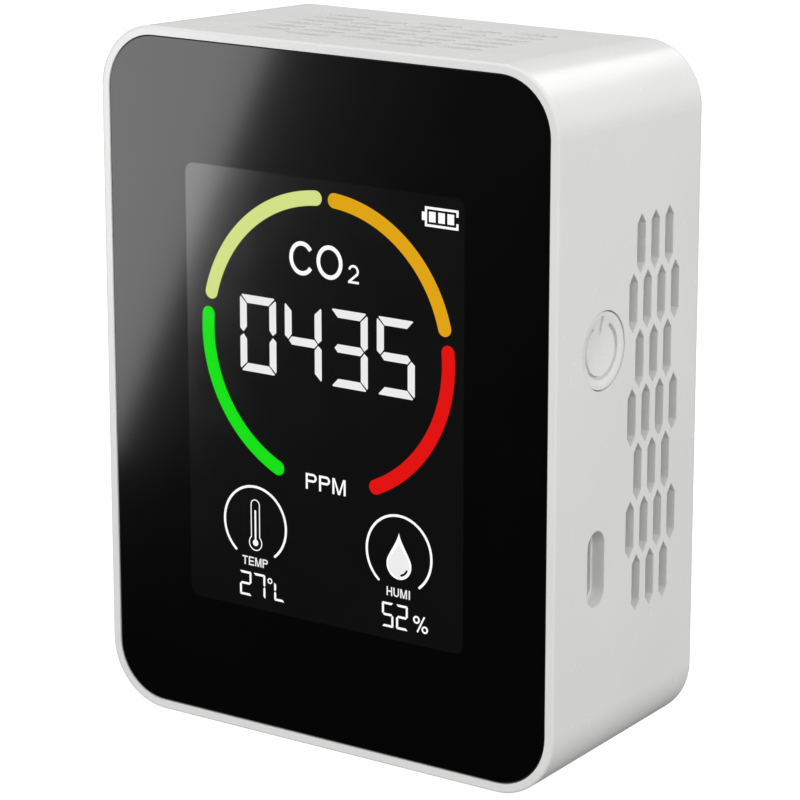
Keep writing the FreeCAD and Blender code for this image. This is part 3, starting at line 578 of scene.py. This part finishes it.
def gloss_black(name):
    """The panel: polished acrylic over black, with a faint orange peel and a trace of haze."""
    material, tree, shader = new_material(name)
    shade = noise(tree, 90.0, 3.0)
    mottle(tree, shader, (0.0015, 0.0015, 0.0016), (0.0021, 0.0021, 0.0022), shade)
    smear = noise(tree, 130.0, 4.0, 0.55)
    tree.links.new(ranged(tree, smear, 0.30, 0.34), shader.inputs["Roughness"])
    shader.inputs["Specular IOR Level"].default_value = 0.10
    shader.inputs["Coat Weight"].default_value = 1.0
    shader.inputs["Coat Roughness"].default_value = 0.115
    bump(tree, shader, noise(tree, 220.0, 1.0), 0.0000006)
    return material


def window_film(name):
    """What shows in the panel's clear window: the display's dark grey film under acrylic."""
    material, tree, shader = new_material(name)
    shade = noise(tree, 120.0, 3.0)
    mottle(tree, shader, (0.0062, 0.0062, 0.0064), (0.0080, 0.0080, 0.0082), shade)
    haze = noise(tree, 130.0, 4.0, 0.55)
    tree.links.new(ranged(tree, haze, 0.15, 0.19), shader.inputs["Roughness"])
    shader.inputs["Specular IOR Level"].default_value = 0.62
    shader.inputs["Coat Weight"].default_value = 1.0
    shader.inputs["Coat Roughness"].default_value = 0.115
    bump(tree, shader, noise(tree, 220.0, 1.0), 0.0000006)
    return material


def lit(name, colour):
    """A lit mark behind the glossy panel: its own light, and the panel's gloss over it."""
    material, tree, shader = new_material(name)
    mottle(tree, shader, (0.004, 0.004, 0.004), (0.006, 0.006, 0.006), noise(tree, 400.0))
    haze = noise(tree, 130.0, 4.0, 0.55)
    tree.links.new(ranged(tree, haze, 0.10, 0.13), shader.inputs["Roughness"])
    shader.inputs["Emission Color"].default_value = (*colour, 1)
    shader.inputs["Emission Strength"].default_value = 1.0
    return material


def clear_sheet(name, colour, roughness, alpha):
    """Glass or clear acrylic, seen only inside."""
    material, tree, shader = new_material(name)
    mottle(tree, shader, colour, tuple(c * 0.97 for c in colour), noise(tree, 200.0))
    smear = ranged(tree, noise(tree, 300.0), roughness, roughness + 0.03)
    tree.links.new(smear, shader.inputs["Roughness"])
    shader.inputs["Alpha"].default_value = alpha
    return material


def circuit_board(name):
    """Green solder mask with paler copper tracks on a fine grid under it."""
    material, tree, shader = new_material(name)
    brick = tree.nodes.new("ShaderNodeTexBrick")
    brick.inputs["Scale"].default_value = 320.0
    brick.inputs["Mortar Size"].default_value = 0.03
    brick.inputs["Color1"].default_value = (0.010, 0.085, 0.035, 1)
    brick.inputs["Color2"].default_value = (0.012, 0.105, 0.042, 1)
    brick.inputs["Mortar"].default_value = (0.018, 0.150, 0.060, 1)
    turn = tree.nodes.new("ShaderNodeMapping")
    turn.inputs["Rotation"].default_value = (math.pi / 2, 0, 0)
    tree.links.new(place(tree), turn.inputs["Vector"])
    tree.links.new(turn.outputs["Vector"], brick.inputs["Vector"])
    tree.links.new(brick.outputs["Color"], shader.inputs["Base Color"])
    tree.links.new(ranged(tree, noise(tree, 300.0), 0.28, 0.36), shader.inputs["Roughness"])
    bump(tree, shader, brick.outputs["Fac"], 0.00001)
    return material


def fibre(name, colour):
    """A pressed fibre filter."""
    material, tree, shader = new_material(name)
    fleck = noise(tree, 3500.0, 4.0, 0.7)
    mottle(tree, shader, colour, tuple(c * 0.85 for c in colour), fleck)
    tree.links.new(ranged(tree, fleck, 0.85, 0.95), shader.inputs["Roughness"])
    bump(tree, shader, fleck, 0.00003)
    return material


def foil(name, colour):
    """The battery's laminated pouch, slightly crinkled."""
    material, tree, shader = new_material(name)
    shader.inputs["Metallic"].default_value = 0.8
    crinkle = noise(tree, 130.0, 4.0, 0.6)
    mottle(tree, shader, colour, tuple(c * 0.85 for c in colour), crinkle)
    tree.links.new(ranged(tree, crinkle, 0.30, 0.42), shader.inputs["Roughness"])
    bump(tree, shader, crinkle, 0.0001)
    return material


CASE_WHITE = (0.800, 0.800, 0.788)
materials = {
    "case_white": plastic("case_white", CASE_WHITE, 0.25, edge=0.00012),
    "button_white": plastic("button_white", CASE_WHITE, 0.28, edge=0.00005),
    "panel_black": gloss_black("panel_black"),
    "frame_black": plastic("frame_black", (0.028, 0.028, 0.030), 0.5),
    "tape": plastic("tape", (0.035, 0.035, 0.035), 0.85, 2500.0, 0.00003),
    "polariser": window_film("polariser"),
    "lcd_glass": clear_sheet("lcd_glass", (0.75, 0.80, 0.78), 0.04, 0.35),
    "colour_film": plastic("colour_film", (0.24, 0.24, 0.25), 0.3),
    "diffuser": plastic("diffuser", (0.88, 0.88, 0.88), 0.75),
    "light_guide": clear_sheet("light_guide", (0.90, 0.94, 0.95), 0.05, 0.4),
    "reflector": plastic("reflector", (0.92, 0.92, 0.92), 0.6),
    "tray_white": plastic("tray_white", (0.86, 0.86, 0.85), 0.45),
    "strip_white": plastic("strip_white", (0.82, 0.82, 0.79), 0.4),
    "led": plastic("led", (0.90, 0.82, 0.42), 0.25),
    "board_green": circuit_board("board_green"),
    "chip_black": plastic("chip_black", (0.030, 0.030, 0.033), 0.6, 5000.0, 0.00001),
    "ferrite": plastic("ferrite", (0.085, 0.085, 0.090), 0.8, 3000.0, 0.00002),
    "passive_ceramic": plastic("passive_ceramic", (0.45, 0.34, 0.22), 0.45),
    "tinned_metal": metal("tinned_metal", (0.75, 0.75, 0.74), 0.30),
    "shell_steel": metal("shell_steel", (0.72, 0.72, 0.73), 0.30, 0),
    "screw_steel": metal("screw_steel", (0.42, 0.42, 0.43), 0.32),
    "contact_gold": metal("contact_gold", (0.83, 0.62, 0.25), 0.22),
    "chamber_gold": metal("chamber_gold", (0.80, 0.62, 0.30), 0.28),
    "membrane": fibre("membrane", (0.92, 0.92, 0.90)),
    "plunger": plastic("plunger", (0.55, 0.05, 0.04), 0.4),
    "connector_white": plastic("connector_white", (0.84, 0.82, 0.76), 0.5),
    "lead_red": plastic("lead_red", (0.55, 0.03, 0.02), 0.55),
    "lead_black": plastic("lead_black", (0.018, 0.018, 0.018), 0.55),
    "cell_foil": foil("cell_foil", (0.62, 0.63, 0.66)),
    "display_bright": lit("display_bright", (1.0, 1.0, 1.0)),
    "display_white": lit("display_white", (0.84, 0.84, 0.84)),
    "display_lime": lit("display_lime", (0.640, 0.740, 0.240)),
    "display_green": lit("display_green", (0.006, 0.754, 0.006)),
    "display_orange": lit("display_orange", (0.740, 0.368, 0.004)),
    "display_red": lit("display_red", (0.750, 0.004, 0.003)),
}

for name, node in nodes.items():
    node.data.materials.clear()
    node.data.materials.append(materials[slot_of_node[name]])


# ---------------------------------------------------------------- display

def display_window():
    """The clear part of the panel, a shade lighter than the black round it."""
    outline = rounded_rectangle(-WINDOW_HALF_W, WINDOW_HALF_W, WINDOW_BOTTOM, WINDOW_TOP, WINDOW_R)
    display_piece("display_window", [outline], "polariser", FILM_RISE)


def gauge():
    """The four coloured stretches of the ring."""
    for name, slot, start, end in GAUGE_SPANS:
        line = arc(GAUGE_CENTRE, GAUGE_R, start, end, 1.5)
        display_piece(name, [stroke(line, GAUGE_W, True)], slot)


def reading():
    """The four large digits."""
    for index, character in enumerate(READING):
        x = READING_LEFT + READING_PITCH * index
        outlines = digit(character, x, READING_BOTTOM, READING_SIZE, READING_STROKE, READING_GAP)
        display_piece(f"reading_digit_{index + 1}", outlines, "display_white")


def gas_label():
    """The gas's formula over the reading, and its unit below."""
    outlines = []
    for letter, x, width in GAS_LETTERS:
        outlines += moved(LETTERS[letter](width, GAS_HEIGHT, GAS_STROKE), x, GAS_BOTTOM)
    outlines += moved(numeral_two(*SUBSCRIPT_SIZE, SUBSCRIPT_STROKE), *SUBSCRIPT_PLACE)
    display_piece("gas_label", outlines, "display_bright")
    unit = word("PPM", UNIT_LEFT, UNIT_RIGHT, UNIT_BOTTOM, UNIT_HEIGHT, UNIT_STROKE)
    display_piece("unit_label", unit, "display_bright")


def battery_icon():
    """The charge symbol, with a gap in its right-hand side."""
    left, right = BATTERY_X
    low, high = BATTERY_Z
    line = BATTERY_LINE
    outlines = [
        rectangle(left, left + line, low, high),
        rectangle(left + line, right, high - line, high),
        rectangle(left + line, right, low, low + line),
        rectangle(right - line, right, low + line, BATTERY_GAP_Z[0]),
        rectangle(right - line, right, BATTERY_GAP_Z[1], high - line),
        rectangle(left - BATTERY_TIP_L, left, *BATTERY_TIP_Z),
    ]
    for x in BATTERY_BARS:
        outlines.append(rectangle(x, x + BATTERY_BAR_W, *BATTERY_BAR_Z))
    display_piece("battery_icon", outlines, "display_bright")


def dial_ring(name, x):
    """A thin circle that is open at the bottom."""
    line = arc((x, DIAL_Z), DIAL_R, DIAL_OPEN - 90, 270 - DIAL_OPEN, 4.0)
    display_piece(name, [stroke(line, DIAL_W, True)], "display_bright")


def thermometer_icon():
    """A thermometer's outline, with its column and bulb inside."""
    x = THERMOMETER_X
    line = THERMOMETER_LINE
    tube_r = (TUBE_W - line) / 2
    bulb_r = (BULB_W - line) / 2
    neck = math.degrees(math.asin(tube_r / bulb_r))
    path = arc((x, THERMOMETER_TOP - tube_r - line / 2), tube_r, 0, 180, 15.0)
    path += arc((x, BULB_Z), bulb_r, 90 + neck, 450 - neck, 15.0)
    path.append(path[0])
    inner_bulb = arc((x, BULB_Z), COLUMN_BULB_R, 0, 345, 15.0)
    column = stroke([(x, COLUMN_BOTTOM), (x, COLUMN_TOP)], COLUMN_W, True)
    outlines = [stroke(path, line), column, inner_bulb]
    display_piece("thermometer_icon", outlines, "display_bright")


def drop_outline(x, tip_z, centre_z, radius):
    """A drop: round below, drawn up to a point."""
    side = arc((x, centre_z), radius, -90, DROP_SHOULDER, 8.0)
    start = Vector(side[-1])
    tip = Vector((x, tip_z))
    scale = radius / DROP_R
    bend_out = start + Vector((-0.35, 0.85)) * scale
    bend_in = tip + Vector((0.28, -1.2)) * scale
    for n in range(1, 9):
        t = n / 9
        s = 1 - t
        point = start * s ** 3 + bend_out * 3 * s * s * t + bend_in * 3 * s * t * t + tip * t ** 3
        side.append((point.x, point.y))
    side.append((tip.x, tip.y))
    return side + [(2 * x - px, pz) for px, pz in reversed(side[1:-1])]


def drop_icon():
    """A drop with a bright edge, a softer middle and a slit for its highlight."""
    x = HUMIDITY_X
    edge = drop_outline(x, DROP_TIP, DROP_CENTRE, DROP_R)
    middle = drop_outline(x, DROP_TIP - DROP_EDGE_TIP, DROP_CENTRE, DROP_R - DROP_EDGE_W)
    slit = stroke(arc((x, DROP_CENTRE), GLINT_R, -74, -26, 12.0), GLINT_W, True)
    middle_rise = MARK_RISE + LAYER
    display_piece("drop_icon", [edge], "display_bright")
    display_piece("drop_middle", [middle], "display_white", middle_rise, MARK_RISE)
    display_piece("drop_highlight", [slit], "polariser", middle_rise + LAYER, middle_rise)


def small_digit(character, x, width):
    """One digit of a small value."""
    size = (width, SMALL_HEIGHT)
    return digit(character, x, SMALL_BOTTOM, size, SMALL_STROKE, SMALL_GAP)


def small_values():
    """The temperature and humidity values with their signs and labels."""
    degree_sign = ring((-8.56, 20.97), 0.39, 0.23)
    unit = digit("L", -7.88, 18.51, (1.63, 2.45), SMALL_STROKE, SMALL_GAP)
    temperature = small_digit("2", -13.46, 1.88) + small_digit("7", -11.21, 1.88)
    temperature += unit + degree_sign
    display_piece("temperature_value", temperature, "display_bright")
    percent_sign = ring((14.5, 20.15), 0.52, 0.28) + ring((15.77, 19.03), 0.49, 0.26)
    percent_sign.append(stroke([(14.62, 18.57), (15.72, 20.71)], 0.22))
    humidity = small_digit("5", 9.2, 1.75) + small_digit("2", 11.38, 1.79) + percent_sign
    display_piece("humidity_value", humidity, "display_bright")
    for name, text, left, right in (
        ("temperature_label", "TEMP", -13.0, -8.88),
        ("humidity_label", "HUMI", 9.92, 13.58),
    ):
        label = word(text, left, right, LABEL_BOTTOM, LABEL_HEIGHT, LABEL_STROKE)
        display_piece(name, label, "display_white")


display_window()
gauge()
reading()
gas_label()
battery_icon()
dial_ring("temperature_dial", TEMPERATURE_X)
dial_ring("humidity_dial", HUMIDITY_X)
thermometer_icon()
drop_icon()
small_values()


# ---------------------------------------------------------------- studio

def floor():
    """A plain, pale, faintly glowing floor.  It lights nothing and isn't mirrored in the panel."""
    data = bpy.data.meshes.new("floor")
    mesh = bmesh.new()
    bmesh.ops.create_circle(mesh, cap_ends=True, segments=96, radius=FLOOR_R)
    mesh.to_mesh(data)
    mesh.free()
    ground = bpy.data.objects.new("floor", data)
    ground.location.z = -FLOOR_DROP
    bpy.context.scene.collection.objects.link(ground)
    material, tree, shader = new_material("floor_paper")
    mottle(tree, shader, (0.30, 0.30, 0.30), (0.295, 0.295, 0.295), noise(tree, 30.0))
    shader.inputs["Roughness"].default_value = 0.9
    shader.inputs["Specular IOR Level"].default_value = 0.0
    shader.inputs["Emission Color"].default_value = (1, 1, 1, 1)
    shader.inputs["Emission Strength"].default_value = FLOOR_GLOW
    data.materials.append(material)
    ground.visible_glossy = False
    ground.visible_diffuse = False


def sky():
    """White light, stronger from above and not mirrored from below.  The camera sees white."""
    world = bpy.data.worlds.new("studio")
    world.use_nodes = True
    tree = world.node_tree
    background = tree.nodes["Background"]
    background.inputs["Color"].default_value = (1, 1, 1, 1)
    direction = tree.nodes.new("ShaderNodeTexCoord")
    parts = tree.nodes.new("ShaderNodeSeparateXYZ")
    tree.links.new(direction.outputs["Generated"], parts.inputs["Vector"])
    ray = tree.nodes.new("ShaderNodeLightPath")
    below = tree.nodes.new("ShaderNodeMath")
    below.operation = "MULTIPLY_ADD"
    below.inputs[1].default_value = -SKY_BELOW
    below.inputs[2].default_value = SKY_BELOW
    tree.links.new(ray.outputs["Is Glossy Ray"], below.inputs[0])
    fade = tree.nodes.new("ShaderNodeMapRange")
    fade.inputs["From Min"].default_value = -0.1
    fade.inputs["From Max"].default_value = 0.1
    tree.links.new(below.outputs["Value"], fade.inputs["To Min"])
    fade.inputs["To Max"].default_value = SKY_ABOVE
    tree.links.new(parts.outputs["Z"], fade.inputs["Value"])
    choice = tree.nodes.new("ShaderNodeMix")
    tree.links.new(ray.outputs["Is Camera Ray"], choice.inputs["Factor"])
    tree.links.new(fade.outputs["Result"], choice.inputs["A"])
    choice.inputs["B"].default_value = 1.0
    tree.links.new(choice.outputs["Result"], background.inputs["Strength"])
    bpy.context.scene.world = world


def softbox(name, centre, facing, upright, size, power, matt, gloss):
    """A rectangular soft light, in metres.  Its height runs along upright."""
    data = bpy.data.lights.new(name, "AREA")
    data.shape = "RECTANGLE"
    data.size, data.size_y = size
    data.energy = power
    light = bpy.data.objects.new(name, data)
    back = -Vector(facing).normalized()
    side = Vector(upright).cross(back).normalized()
    turn = Matrix((side, back.cross(side), back)).transposed()
    light.matrix_world = Matrix.Translation(centre) @ turn.to_4x4()
    light.visible_camera = False
    light.visible_diffuse = matt
    light.visible_glossy = gloss
    bpy.context.scene.collection.objects.link(light)


def camera():
    """The camera that matches the view of the display and the right-hand side."""
    data = bpy.data.cameras.new("camera")
    data.lens = CAMERA_LENS
    data.sensor_width = 36.0
    data.shift_x, data.shift_y = CAMERA_SHIFT
    data.clip_start = 0.01
    data.clip_end = 50.0
    away = Vector((
        math.sin(CAMERA_AZIMUTH) * math.cos(CAMERA_ELEVATION),
        -math.cos(CAMERA_AZIMUTH) * math.cos(CAMERA_ELEVATION),
        math.sin(CAMERA_ELEVATION),
    ))
    viewer = bpy.data.objects.new("camera", data)
    viewer.location = CAMERA_AIM + away * CAMERA_DISTANCE
    viewer.rotation_euler = (-away).to_track_quat("-Z", "Y").to_euler()
    bpy.context.scene.collection.objects.link(viewer)
    bpy.context.scene.camera = viewer


floor()
sky()
for light in SOFTBOXES:
    softbox(*light)
camera()
bpy.context.scene.view_settings.view_transform = "Standard"
